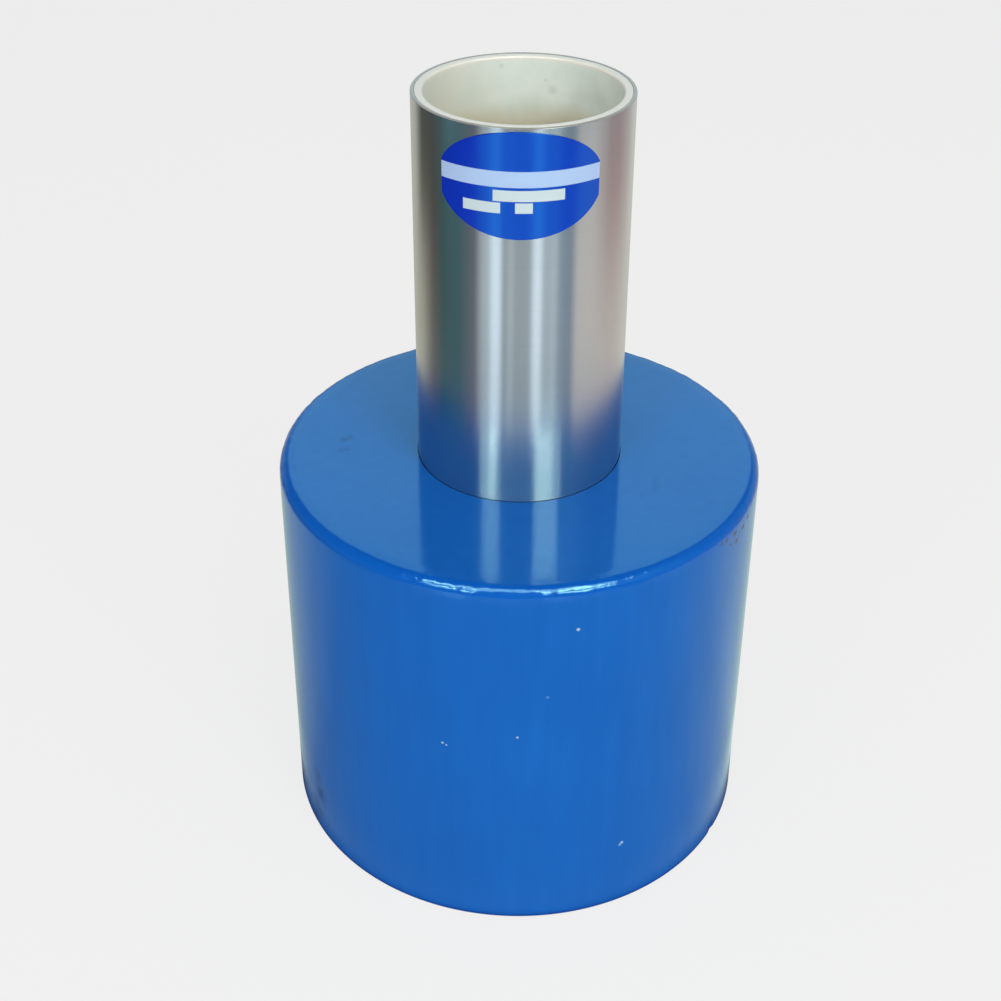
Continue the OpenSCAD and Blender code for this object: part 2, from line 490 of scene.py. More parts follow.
def make_nameplate():
    """The oval foil wrapped round the tube, its ends cut straight and its edge bevelled."""
    half_height = (PLATE_TOP - PLATE_BOTTOM) / 2
    inner_edge = PLATE_HALF_WIDTH - PLATE_BEVEL
    columns = [-PLATE_HALF_WIDTH, *evenly(-inner_edge, inner_edge, PLATE_COLUMNS), PLATE_HALF_WIDTH]
    bm = bmesh.new()

    def wrapped(along, up, radius):
        angle = along / PLATE_R
        return bm.verts.new((radius * math.sin(angle), -radius * math.cos(angle), PLATE_CENTRE + up))

    fronts, backs = [], []
    for along in columns:
        reach = half_height * math.sqrt(1 - (along / OVAL_HALF_WIDTH) ** 2)
        rows = [-reach, *evenly(-reach + PLATE_BEVEL, reach - PLATE_BEVEL, PLATE_ROWS), reach]
        at_end = abs(along) > inner_edge + PLATE_BEVEL / 2
        front, back = [], []
        for row, up in enumerate(rows):
            at_edge = at_end or row in (0, len(rows) - 1)
            radius = PLATE_R - PLATE_BEVEL if at_edge else PLATE_R
            front.append(wrapped(along, up, radius))
            back.append(wrapped(along, up, PLATE_R - PLATE_THICKNESS))
        fronts.append(front)
        backs.append(back)
    for grid in (fronts, backs):
        for one, two in zip(grid, grid[1:]):
            for k in range(len(one) - 1):
                bm.faces.new((one[k], one[k + 1], two[k + 1], two[k]))
    for k in range(len(columns) - 1):
        for row in (0, -1):
            bm.faces.new((fronts[k][row], fronts[k + 1][row], backs[k + 1][row], backs[k][row]))
    for column in (0, -1):
        front, back = fronts[column], backs[column]
        for k in range(len(front) - 1):
            bm.faces.new((front[k], front[k + 1], back[k + 1], back[k]))
    plate = new_object("foil_nameplate", bm)
    plate.data.materials.append(foil_material())
    return plate


# Materials

WHITE = (1, 1, 1, 1)

# Cores of marks: the share of their size inside which they are full
CRISP = 0.6
HAZY = 0.3
SOFT = 0.0


def add_node(tree, kind, inputs=None, **settings):
    """A new node. inputs maps a socket's name or number to a value or to another node's output."""
    made = tree.nodes.new(kind)
    for key, value in settings.items():
        setattr(made, key, value)
    for key, value in (inputs or {}).items():
        if isinstance(value, bpy.types.NodeSocket):
            tree.links.new(value, made.inputs[key])
        else:
            made.inputs[key].default_value = value
    return made


def maths(tree, operation, *values):
    """Result of a maths node."""
    return add_node(tree, "ShaderNodeMath", dict(enumerate(values)), operation=operation).outputs[0]


def between(tree, share, first, second):
    """Number between first and second: share 0 gives first."""
    return maths(tree, "MULTIPLY_ADD", share, second - first, first)


def blend_colour(tree, share, first, second):
    """Colour between first and second: share 0 gives first."""
    return add_node(tree, "ShaderNodeMix", {0: share, 6: first, 7: second}, data_type="RGBA").outputs[2]


def blend_shader(tree, share, first, second):
    """Shader between first and second: share 0 gives first."""
    return add_node(tree, "ShaderNodeMixShader", {0: share, 1: first, 2: second}).outputs[0]


def ramp(tree, value, low, high):
    """0 up to low, 1 from high on, and a straight line between."""
    return add_node(tree, "ShaderNodeMapRange", {0: value, 1: low, 2: high, 3: 0.0, 4: 1.0}).outputs[0]


def noise_value(tree, vector, scale, detail, roughness=0.5):
    inputs = {"Vector": vector, "Scale": scale, "Detail": detail, "Roughness": roughness}
    return add_node(tree, "ShaderNodeTexNoise", inputs).outputs[0]


def patches(tree, vector, scale, detail, low, high, roughness=0.5):
    """Patches of noise: 0 where it is up to low, 1 where it is high or more."""
    return ramp(tree, noise_value(tree, vector, scale, detail, roughness), low, high)


def stretched(tree, vector, scale):
    return add_node(tree, "ShaderNodeMapping", {"Vector": vector, "Scale": scale}).outputs[0]


def split(tree, vector):
    """The three parts of a vector."""
    return add_node(tree, "ShaderNodeSeparateXYZ", {0: vector}).outputs


def length(tree, vector):
    return add_node(tree, "ShaderNodeVectorMath", {0: vector}, operation="LENGTH").outputs["Value"]


def axis_distance(tree, place):
    """Distance of a point from the Z axis."""
    return length(tree, stretched(tree, place, (1, 1, 0)))


def spot(tree, vector, centre, half_sizes, turn=0.0, core=CRISP):
    """Soft oval mark: 1 inside the share core of its half sizes, 0 outside them. It is turned about Z."""
    inputs = {
        "Vector": vector, "Location": centre, "Rotation": (0, 0, math.radians(turn)), "Scale": half_sizes}
    inside = add_node(tree, "ShaderNodeMapping", inputs, vector_type="TEXTURE").outputs[0]
    return ramp(tree, length(tree, inside), 1.0, core)


def strongest(tree, masks):
    """Largest of some masks."""
    most = masks[0]
    for mask in masks[1:]:
        most = maths(tree, "MAXIMUM", most, mask)
    return most


def new_material(name, **values):
    """Material with a Principled shader. Returns it, its tree, the shader and the object coordinates."""
    material = bpy.data.materials.new(name)
    material.use_nodes = True
    tree = material.node_tree
    shader = tree.nodes["Principled BSDF"]
    for key, value in values.items():
        shader.inputs[key.replace("_", " ")].default_value = value
    place = tree.nodes.new("ShaderNodeTexCoord").outputs["Object"]
    return material, tree, shader, place


def add_bump(tree, shader, height, depth):
    """Bumps the shader's normal by a height from 0 to 1, which stands for depth in metres."""
    bump = add_node(tree, "ShaderNodeBump", {"Height": height, "Distance": depth, "Strength": 1.0})
    tree.links.new(bump.outputs[0], shader.inputs["Normal"])


ENAMEL_BLUE = (0.0085, 0.130, 0.540, 1)
ENAMEL_DEEP = (0.0068, 0.110, 0.478, 1)
ENAMEL_EDGE_SHADE = (0.0030, 0.100, 0.500, 1)  # painted shade: a darker, deeper blue over the rounded top edge
ENAMEL_FOOT_SHADE = (0.0030, 0.050, 0.300, 1)  # painted shade: a darker blue round the foot's edge
ENAMEL_SHINE = (0.45, 1.0, 1.0, 1)  # tint of what the enamel mirrors head on
ENAMEL_ROUGHNESS = (0.10, 0.44)  # whole, and worn
PALE_CHIP = (0.36, 0.52, 0.66, 1)
DARK_CHIP = (0.070, 0.034, 0.075, 1)
SMUDGE = (0.007, 0.060, 0.290, 1)
SCUFF = (0.003, 0.075, 0.340, 1)
BARE_STEEL = (0.33, 0.33, 0.34, 1)

# The enamel's tone: noise (scale, detail) as clouds and as upright runs, and the share of each
ENAMEL_CLOUDS = (22, 3)
ENAMEL_RUNS = (240, 2)
RUNS_STRETCH = (1, 1, 0.12)
CLOUDS_SHARE = 0.6
RUNS_SHARE = 0.5
ENAMEL_TONES = (0.35, 0.80)  # from the one to the other the enamel goes from deep to blue
EDGE_REACH = (1.1, 0.8)  # over the edge's radius: how far in from the wall and the top its painted shade and its lumps set in
FOOT_SHADE_REACH = (2.6 * MM, 0.8 * MM)  # heights between which the painted shade round the foot sets in
UNDERSIDE = (0.35 * MM, 0.10 * MM)  # heights between which the wear of the underside sets in
PEEL = (420, 1)  # noise of the orange peel, and of the lumps on the rounded edge
LUMPS = (750, 1)
PEEL_HEIGHT = 0.010 * MM
LUMPS_HEIGHT = 7.0  # over the orange peel's, and so is the depth of the pits
PIT_DEPTH = 4.0

# Marks on the enamel's wall: degrees from -Y towards +X, height above the floor and radius in mm
PALE_CHIPS = [
    (14.6, 120.5, 0.7), (1.8, 79.6, 0.5), (-15.2, 74, 0.5), (-14.3, 73.4, 0.4), (27.7, 27, 0.7),
    (27.2, 26.3, 0.5)]
FAINT_CHIP = (8.3, 95.4, 0.6)
SMUDGES = [(-57.5, 25, 5.0), (-56.5, 18, 7.0), (-58.5, 10, 6.5), (-61.0, 3, 5.0)]
DARK_CHIPS = [
    (67.4, 130.8, 1.3), (64.5, 129.5, 1.5), (59.6, 130.9, 1.4), (55.7, 131.4, 1.2), (60.9, 127.1, 1.4),
    (57.5, 128.2, 1.0), (53.6, 131.8, 1.0)]
SPECKLED_PATCH = (61.5, 129, 7.0)  # a patch of finer dark chips
# Scuffs on the top face: place, half length and half width in mm, degrees that they are turned, and strength
SCUFFS = [
    ((-58.4, 1.6), (3.6, 2.1), 52, 1.0),
    ((-58.2, -5.0), (3.3, 2.0), 40, 1.0),
    ((44.6, -21.5), (6.0, 2.0), 88, 0.35)]
FAINT_STRENGTH = 0.25
SPECK_STRENGTH = 0.6
SCUFF_WEAR = 0.3  # how rough a scuff is, from 0, whole, to 1, worn
# Patches that break up the marks: scale and detail of the noise, and the values between which they set in
SMUDGE_PATCHES = (170, 3, 0.20, 0.60)
SCUFF_PATCHES = (400, 2, 0.32, 0.52)
SPECKS = (900, 2, 0.54, 0.61)
DARK_CHIP_PATCHES = (600, 2, 0.28, 0.45)
RUBBED_PATCHES = (90, 5, 0.50, 0.56, 0.65)  # its last value is the noise's roughness


def wall_spot(tree, place, mark, core=CRISP):
    """Round mark on the block's wall."""
    azimuth, height, size = mark
    centre = direction(azimuth) * BLOCK_R + Vector((0, 0, height * MM))
    return spot(tree, place, centre, (size * MM,) * 3, core=core)


def enamel_material():
    """Thick gloss enamel with orange peel, faint runs, chips, smudges, scuffs and a worn underside, with
    painted shade on its rounded top edge and round its foot.
    """
    material, tree, shader, place = new_material("blue_enamel", IOR=1.5, Specular_Tint=ENAMEL_SHINE)
    clouds = noise_value(tree, place, *ENAMEL_CLOUDS)
    runs = noise_value(tree, stretched(tree, place, RUNS_STRETCH), *ENAMEL_RUNS)
    tone = maths(tree, "MULTIPLY_ADD", runs, RUNS_SHARE, maths(tree, "MULTIPLY", clouds, CLOUDS_SHARE))
    colour = blend_colour(tree, ramp(tree, tone, *ENAMEL_TONES), ENAMEL_DEEP, ENAMEL_BLUE)
    height = split(tree, place)[2]
    outward = axis_distance(tree, place)
    # Painted shade: the rounded top edge turns a darker, deeper blue
    outside = ramp(tree, outward, *[BLOCK_R - share * BLOCK_EDGE_R for share in EDGE_REACH])
    above = ramp(tree, height, *[BLOCK_TOP - share * BLOCK_EDGE_R for share in EDGE_REACH])
    at_edge = maths(tree, "MULTIPLY", outside, above)
    colour = blend_colour(tree, at_edge, colour, ENAMEL_EDGE_SHADE)
    # Painted shade: the enamel turns darker over the lowest few mm round the foot
    colour = blend_colour(tree, ramp(tree, height, *FOOT_SHADE_REACH), colour, ENAMEL_FOOT_SHADE)

    dull = strongest(tree, [wall_spot(tree, place, mark, SOFT) for mark in SMUDGES])
    dull = maths(tree, "MULTIPLY", dull, patches(tree, place, *SMUDGE_PATCHES))
    colour = blend_colour(tree, dull, colour, SMUDGE)
    marks = []
    for (x, y), (half_long, half_wide), turn, strength in SCUFFS:
        half_sizes = (half_long * MM, half_wide * MM, MM)
        mark = spot(tree, place, (x * MM, y * MM, BLOCK_TOP), half_sizes, turn, HAZY)
        marks.append(maths(tree, "MULTIPLY", mark, strength))
    scuffed = maths(tree, "MULTIPLY", strongest(tree, marks), patches(tree, place, *SCUFF_PATCHES))
    colour = blend_colour(tree, scuffed, colour, SCUFF)

    speckled = wall_spot(tree, place, SPECKLED_PATCH, HAZY)
    specks = maths(tree, "MULTIPLY", patches(tree, place, *SPECKS), speckled)
    specks = maths(tree, "MULTIPLY", specks, SPECK_STRENGTH)
    dark = strongest(tree, [wall_spot(tree, place, mark, HAZY) for mark in DARK_CHIPS])
    dark = maths(tree, "MULTIPLY", dark, patches(tree, place, *DARK_CHIP_PATCHES))
    dark = strongest(tree, [specks, dark])
    colour = blend_colour(tree, dark, colour, DARK_CHIP)
    chips = strongest(tree, [wall_spot(tree, place, mark) for mark in PALE_CHIPS])
    faint = maths(tree, "MULTIPLY", wall_spot(tree, place, FAINT_CHIP), FAINT_STRENGTH)
    colour = blend_colour(tree, strongest(tree, [chips, faint]), colour, PALE_CHIP)

    rubbed = patches(tree, place, *RUBBED_PATCHES)
    bare = maths(tree, "MULTIPLY", rubbed, ramp(tree, height, *UNDERSIDE))
    colour = blend_colour(tree, bare, colour, BARE_STEEL)
    tree.links.new(colour, shader.inputs["Base Color"])
    tree.links.new(bare, shader.inputs["Metallic"])
    worn = strongest(tree, [dull, maths(tree, "MULTIPLY", scuffed, SCUFF_WEAR), bare, dark])
    tree.links.new(between(tree, worn, *ENAMEL_ROUGHNESS), shader.inputs["Roughness"])

    peel = noise_value(tree, place, *PEEL)
    pits = strongest(tree, [chips, dark, bare])
    relief = maths(tree, "MULTIPLY_ADD", pits, -PIT_DEPTH, peel)
    lumps = maths(tree, "MULTIPLY", at_edge, noise_value(tree, place, *LUMPS))
    relief = maths(tree, "MULTIPLY_ADD", lumps, LUMPS_HEIGHT, relief)
    add_bump(tree, shader, relief, PEEL_HEIGHT)
    return material


def grained_material(name, colours, scale, detail, relief, stretch=None, spread=None, **values):
    """Material with one noise in its colour and its relief. The noise runs over the object stretched by
    stretch, and goes from the first colour to the second over the values in spread."""
    material, tree, shader, place = new_material(name, **values)
    if stretch:
        place = stretched(tree, place, stretch)
    grain = noise_value(tree, place, scale, detail)
    share = ramp(tree, grain, *spread) if spread else grain
    tree.links.new(blend_colour(tree, share, *colours), shader.inputs["Base Color"])
    add_bump(tree, shader, grain, relief)
    return material


def machined_material():
    """Bare turned steel of the seat and the bores."""
    return grained_material(
        "machined_steel", [(0.25, 0.25, 0.26, 1), (0.42, 0.42, 0.42, 1)], scale=4000, detail=2,
        relief=0.01 * MM, stretch=(0.1, 0.1, 1), Metallic=1.0, Roughness=0.34)


def hardened_material():
    """Ground and polished core."""
    return grained_material(
        "hardened_steel", [(0.55, 0.55, 0.54, 1), (0.68, 0.68, 0.66, 1)], scale=900, detail=2,
        relief=0.002 * MM, Metallic=1.0, Roughness=0.16)


def black_oxide_material():
    return grained_material(
        "black_oxide_steel", [(0.04, 0.04, 0.045, 1), (0.09, 0.09, 0.095, 1)], scale=500, detail=3,
        relief=0.01 * MM, spread=(0.5, 0.75), Metallic=1.0, Roughness=0.42)


def spring_steel_material():
    return grained_material(
        "spring_steel", [(0.26, 0.26, 0.27, 1), (0.36, 0.36, 0.37, 1)], scale=300, detail=3,
        relief=0.01 * MM, stretch=(1, 1, 12), Metallic=1.0, Roughness=0.38)


def rubber_material():
    return grained_material(
        "black_rubber", [(0.016, 0.016, 0.016, 1), (0.03, 0.03, 0.03, 1)], scale=700, detail=3,
        relief=0.01 * MM, Roughness=0.55)


STEEL_DULL = (0.60, 0.60, 0.60, 1)
STEEL_BRIGHT = (0.70, 0.70, 0.70, 1)
CUT_STEEL = (0.48, 0.41, 0.37, 1)
STEEL_METALLIC = (1.0, 0.45)  # of the wall, and of the cut edge at the rim
STEEL_ROUGHNESS = (0.22, 0.37)
STEEL_ANISOTROPY = 0.93
QUARTER_TURN = 0.25
# The steel's tone: noise (scale, detail) as turned grain and as patches, and the share of each
STEEL_GRAIN = (40, 3)
GRAIN_STRETCH = (1, 1, 60)
STEEL_PATCHES = (45, 3)
GRAIN_SHARE = 0.6
PATCHES_SHARE = 0.4
GRAIN_HEIGHT = 0.002 * MM
CUT_REACH = (1.0, 0.3)  # over the rim's rounding: depths below the rim between which the cut edge sets in


def stainless_material():
    """Stainless tube with a fine grain turned round it, which draws reflections out along its length.
    The cut edge at its rim is duller."""
    material, tree, shader, place = new_material(
        "brushed_stainless", Anisotropic=STEEL_ANISOTROPY, Anisotropic_Rotation=QUARTER_TURN)
    tangent = add_node(tree, "ShaderNodeTangent", direction_type="RADIAL", axis="Z").outputs[0]
    tree.links.new(tangent, shader.inputs["Tangent"])
    grain = noise_value(tree, stretched(tree, place, GRAIN_STRETCH), *STEEL_GRAIN)
    uneven = noise_value(tree, place, *STEEL_PATCHES)
    tone = maths(tree, "MULTIPLY_ADD", uneven, PATCHES_SHARE, maths(tree, "MULTIPLY", grain, GRAIN_SHARE))
    colour = blend_colour(tree, tone, STEEL_DULL, STEEL_BRIGHT)
    cut = ramp(tree, split(tree, place)[2], *[RIM - share * TUBE_RIM_R for share in CUT_REACH])
    colour = blend_colour(tree, cut, colour, CUT_STEEL)
    tree.links.new(colour, shader.inputs["Base Color"])
    tree.links.new(between(tree, cut, *STEEL_METALLIC), shader.inputs["Metallic"])
    tree.links.new(between(tree, cut, *STEEL_ROUGHNESS), shader.inputs["Roughness"])
    add_bump(tree, shader, grain, GRAIN_HEIGHT)
    return material


LINER_PALE = (0.77, 0.83, 0.80, 1)
LINER_DULL = (0.65, 0.73, 0.69, 1)
LINER_LIP = (0.80, 0.79, 0.74, 1)
LINER_BAND_YELLOW = (0.66, 0.50, 0.25, 1)
LINER_DEEP = (0.60, 0.60, 0.50, 1)
LINER_GREASY = (0.73, 0.72, 0.62, 1)
LINER_SPOT = (0.59, 0.65, 0.62, 1)
# Marks in the bore: degrees from -Y towards +X, depth below the rim and radius in mm
GREASY_SIDE = (-118, 16, 26)
LINER_SPOTS = [(164, 10.4, 2.4), (-165, 3.0, 1.0), (168, 7.6, 0.9)]
GREASE_CORE = 0.2
LINER_CLOUDS = (85, 4)  # noise: scale and detail
PALE_RANGE = (0.3, 0.7)  # values of the clouds over which the dull plastic turns pale
GREASE_RANGE = (0.2, 0.6)
RAGGED = (90, 3)  # noise that makes the soiled band's edges ragged
RAGGED_HEIGHT = 10 * MM
YELLOW_BAND_DEPTHS = (9 * MM, 26 * MM)  # depths between which the yellower band sets in, and gives way again
DEEP_DEPTHS = (24 * MM, 50 * MM)
SPOT_PATCHES = (350, 2, 0.20, 0.60)
LINER_RELIEF = (300, 2)
LINER_RELIEF_HEIGHT = 0.01 * MM


def bore_spot(tree, place, mark, core):
    """Round mark in the liner's bore."""
    azimuth, depth, size = mark
    centre = direction(azimuth) * BORE_R + Vector((0, 0, RIM - depth * MM))
    return spot(tree, place, centre, (size * MM,) * 3, core=core)


def liner_material():
    """Pale plastic, yellower and then darker deeper in the bore, greasy on one side and a warmer white on its
    lip.
    """
    material, tree, shader, place = new_material("cream_plastic", Roughness=0.42, IOR=1.46)
    clouds = noise_value(tree, place, *LINER_CLOUDS)
    colour = blend_colour(tree, ramp(tree, clouds, *PALE_RANGE), LINER_DULL, LINER_PALE)
    greasy = bore_spot(tree, place, GREASY_SIDE, GREASE_CORE)
    greasy = maths(tree, "MULTIPLY", greasy, ramp(tree, clouds, *GREASE_RANGE))
    colour = blend_colour(tree, greasy, colour, LINER_GREASY)
    height = split(tree, place)[2]
    ragged = maths(tree, "MULTIPLY_ADD", noise_value(tree, place, *RAGGED), RAGGED_HEIGHT, height)
    # The bore turns yellower, then darker, with depth below the rim
    for depths, depth_colour in ((YELLOW_BAND_DEPTHS, LINER_BAND_YELLOW), (DEEP_DEPTHS, LINER_DEEP)):
        colour = blend_colour(tree, ramp(tree, ragged, *[RIM - depth for depth in depths]), colour, depth_colour)
    lip = ramp(tree, height, RIM - 2 * LINER_MOUTH_R, RIM - LINER_MOUTH_R)
    colour = blend_colour(tree, lip, colour, LINER_LIP)
    spots = strongest(tree, [bore_spot(tree, place, mark, SOFT) for mark in LINER_SPOTS])
    spots = maths(tree, "MULTIPLY", spots, patches(tree, place, *SPOT_PATCHES))
    colour = blend_colour(tree, spots, colour, LINER_SPOT)
    tree.links.new(colour, shader.inputs["Base Color"])
    add_bump(tree, shader, noise_value(tree, place, *LINER_RELIEF), LINER_RELIEF_HEIGHT)
    return material


INK_BLUE = (0.004, 0.013, 0.50, 1)
INK_DEEP = (0.003, 0.009, 0.43, 1)
INK_SHINE = (0.08, 0.78, 1.0, 1)  # tint of what the glossy ink mirrors head on
PAINT_PALE = (0.43, 0.50, 0.78, 1)
PAINT_WHITE = (0.60, 0.62, 0.65, 1)
FOIL_ROUGHNESS = (0.20, 0.65)  # of the ink, and of the paint
INK_CLOUDS = (120, 3)  # noise: scale and detail
FOIL_WAVES = (90, 2)
FOIL_WAVES_HEIGHT = 0.02 * MM
PRINT_TILT = 0.45  # degrees, its left end lower
PRINT_SOFTNESS = 0.06  # mm to each side of a printed edge over which it fades
# Printed areas: middle along the tube, width, middle height and height, in mm from the plate's centre
BAND = (0, 60, 2.2, 4.9)
BOXES = [(2.8, 21.0, -2.8, 3.4), (-11.25, 11.5, -6.6, 3.3), (1.35, 5.1, -6.5, 3.2)]


def within(tree, value, middle, size):
    """1 where a value in mm lies within a printed area, across it or upwards."""
    distance = maths(tree, "ABSOLUTE", maths(tree, "SUBTRACT", value, middle))
    return ramp(tree, distance, size / 2 + PRINT_SOFTNESS, size / 2 - PRINT_SOFTNESS)


def in_rectangle(tree, along, up, rectangle):
    """1 inside a printed area."""
    middle_along, width, middle_up, height = rectangle
    across = within(tree, along, middle_along, width)
    upwards = within(tree, up, middle_up, height)
    return maths(tree, "MULTIPLY", across, upwards)


def angle_round(tree, x, y):
    """Angle of a point round the Z axis, in radians from -Y towards +X."""
    return maths(tree, "ARCTAN2", x, maths(tree, "MULTIPLY", y, -1.0))


def foil_material():
    """Printed foil: bright glossy blue ink, with a pale band and three blank boxes in duller paint."""
    material, tree, shader, place = new_material("printed_foil", IOR=2.15, Specular_Tint=INK_SHINE)
    x, y, z = split(tree, place)
    along = maths(tree, "MULTIPLY", angle_round(tree, x, y), PLATE_R / MM)
    up = maths(tree, "MULTIPLY", maths(tree, "SUBTRACT", z, PLATE_CENTRE), 1 / MM)
    rise = maths(tree, "MULTIPLY", along, math.tan(math.radians(PRINT_TILT)))
    up = maths(tree, "SUBTRACT", up, rise)
    colour = blend_colour(tree, noise_value(tree, place, *INK_CLOUDS), INK_DEEP, INK_BLUE)
    band = in_rectangle(tree, along, up, BAND)
    boxes = strongest(tree, [in_rectangle(tree, along, up, rectangle) for rectangle in BOXES])
    colour = blend_colour(tree, band, colour, PAINT_PALE)
    colour = blend_colour(tree, boxes, colour, PAINT_WHITE)
    tree.links.new(colour, shader.inputs["Base Color"])
    painted = strongest(tree, [band, boxes])
    tree.links.new(between(tree, painted, *FOIL_ROUGHNESS), shader.inputs["Roughness"])
    add_bump(tree, shader, noise_value(tree, place, *FOIL_WAVES), FOIL_WAVES_HEIGHT)
    return material


# Studio

BACKGROUND = 0.863  # linear value of the plain pale background
FLOOR_SIDE = 8.0
FLOOR_PALE = (0.88, 0.88, 0.88, 1)  # as diffuse surfaces see it
SHADOW_SHARE = 0.09  # share of the background that the floor takes from the lamps, and so shows as shadow
FLOOR_LIGHT = 0.76  # how brightly the lamps light the open floor

# Cards round the object that only glossy surfaces see: degrees from -Y towards +X, and colour
CARDS = [
    (-180, (0.58, 0.58, 0.52)),
    (-125, (0.53, 0.53, 0.44)),
    (-103, (0.18, 0.15, 0.14)),
    (-87, (0.03, 0.10, 0.10)),
    (-65, (0.05, 0.13, 0.15)),
    (-46, (0.20, 0.20, 0.24)),
    (-40, (0.54, 0.60, 0.67)),
    (-36, (0.63, 0.73, 0.80)),
    (-32, (0.64, 0.76, 0.83)),
    (-27, (1.18, 1.39, 1.60)),
    (-21, (1.20, 1.41, 1.62)),
    (-16, (0.42, 0.50, 0.54)),
    (-9, (0.74, 0.84, 0.92)),
    (-4, (0.53, 0.61, 0.65)),
    (10, (0.54, 0.64, 0.70)),
    (15, (1.22, 1.42, 1.58)),
    (20, (1.22, 1.42, 1.58)),
    (24, (0.62, 0.72, 0.81)),
    (29, (0.57, 0.67, 0.76)),
    (35, (0.67, 0.78, 0.86)),
    (41, (0.36, 0.45, 0.56)),
    (53, (0.30, 0.36, 0.46)),
    (60, (0.78, 0.75, 0.73)),
    (110, (0.74, 0.67, 0.62)),
    (145, (0.72, 0.72, 0.66)),
    (180, (0.58, 0.58, 0.52)),
]
# Screens in front of the cards' far part: colour, degrees over which each sets in and ends, and metres over
# which it sets in
SCREENS = [
    ((0.045, 0.035, 0.02, 1), (-136, -120), (-98, -84), (0.50, 0.60)),
    ((0.42, 0.22, 0.21, 1), (75, 98), (112, 148), (0.44, 0.68)),
]
# What glossy surfaces see of the floor close by, of the horizon and of the room above it: degrees and grey
# value
NEAR_FLOOR = [
    (-180, 0.58), (-120, 0.52), (-104, 0.49), (-87, 0.36), (-75, 0.22), (-40, 0.19),
    (30, 0.20), (60, 0.31), (75, 0.46), (88, 0.54), (100, 0.68), (120, 0.66), (180, 0.58)]
NEAR_TINT = (0.90, 1.11, 0.92)
HORIZON = [
    (-180, 0.6), (-138, 0.5), (-120, 0.2), (-88, 0.2), (-75, 0.35), (-45, 0.12), (45, 0.12), (90, 0.5),
    (180, 0.6)]
ROOM = [
    (-180, 1.28), (-165, 1.25), (-150, 0.3), (-140, 0.08), (-55, 0.06), (-46, 0.2), (-38, 1.0), (-22, 1.0),
    (-14, 0.3), (16, 0.35), (24, 1.0), (42, 1.0), (50, 0.8), (62, 0.8), (76, 0.5), (92, 0.25), (110, 0.25),
    (125, 0.4), (140, 0.1), (150, 0.3), (165, 1.28), (180, 1.28)]
ROOM_TINT = (0.59, 1.0, 1.16)
FOOT_GLOW = 0.6  # how much brighter the mirrored floor is right beside the block
FOOT_GLOW_ENDS = 0.097  # distance from the axis in metres
CONTACT_SHADE = 5 * MM  # width of the strip of mirrored floor that the block's foot darkens
NEAR_RADIUS = 0.25  # the block's wall mirrors the floor up to here, and the tube the cards past it
CARD_RADIUS = 0.31
CARDS_END = (0.9, 1.6)  # from the one to the other the cards give way to the horizon


def emptied_tree(owner):
    """Node tree of a material or world, without nodes."""
    owner.use_nodes = True
    owner.node_tree.nodes.clear()
    return owner.node_tree


def azimuth_of(tree, x, y):
    """Azimuth as a share of a turn: 0.5 towards -Y, growing towards +X."""
    return maths(tree, "MULTIPLY_ADD", angle_round(tree, x, y), 1 / (2 * math.pi), 0.5)


def share_of_turn(degrees):
    """Azimuth in degrees, as the same share of a turn."""
    return (degrees + 180) / 360


def round_ramp(tree, azimuth, colours):
    """Colour ramp round the object through (degrees, colour) pairs."""
    ramp_node = add_node(tree, "ShaderNodeValToRGB", {0: azimuth})
    stops = ramp_node.color_ramp.elements
    while len(stops) < len(colours):
        stops.new(0.5)
    for stop, (degrees, colour) in zip(stops, colours):
        stop.position = share_of_turn(degrees)
        stop.color = (*colour, 1)
    return ramp_node.outputs[0]


def tinted(greys, tints):
    """(degrees, colour) pairs from (degrees, grey value) pairs."""
    return [(degrees, tuple(grey * tint for tint in tints)) for degrees, grey in greys]


def screen_share(tree, azimuth, radius, starts, ends, reach):
    """Share of a screen at a point of the floor."""
    begun = ramp(tree, azimuth, *[share_of_turn(degrees) for degrees in starts])
    going = ramp(tree, azimuth, *[share_of_turn(degrees) for degrees in reversed(ends)])
    return maths(tree, "MULTIPLY", maths(tree, "MULTIPLY", begun, going), ramp(tree, radius, *reach))


def mirrored_floor(tree, place):
    """Colour of the floor, its cards and screens as gloss mirrors them, and its strength."""
    x, y, z = split(tree, place)
    azimuth = azimuth_of(tree, x, y)
    radius = axis_distance(tree, place)
    far = round_ramp(tree, azimuth, CARDS)
    for colour, starts, ends, reach in SCREENS:
        far = blend_colour(tree, screen_share(tree, azimuth, radius, starts, ends, reach), far, colour)
    horizon = round_ramp(tree, azimuth, tinted(HORIZON, ROOM_TINT))
    far = blend_colour(tree, ramp(tree, radius, *CARDS_END), far, horizon)
    near = round_ramp(tree, azimuth, tinted(NEAR_FLOOR, NEAR_TINT))
    mirrored = blend_colour(tree, ramp(tree, radius, NEAR_RADIUS, CARD_RADIUS), near, far)
    glow = maths(tree, "MULTIPLY_ADD", ramp(tree, radius, FOOT_GLOW_ENDS, BLOCK_R), FOOT_GLOW, 1.0)
    strength = maths(tree, "MULTIPLY", glow, ramp(tree, radius, BLOCK_R, BLOCK_R + CONTACT_SHADE))
    return mirrored, strength


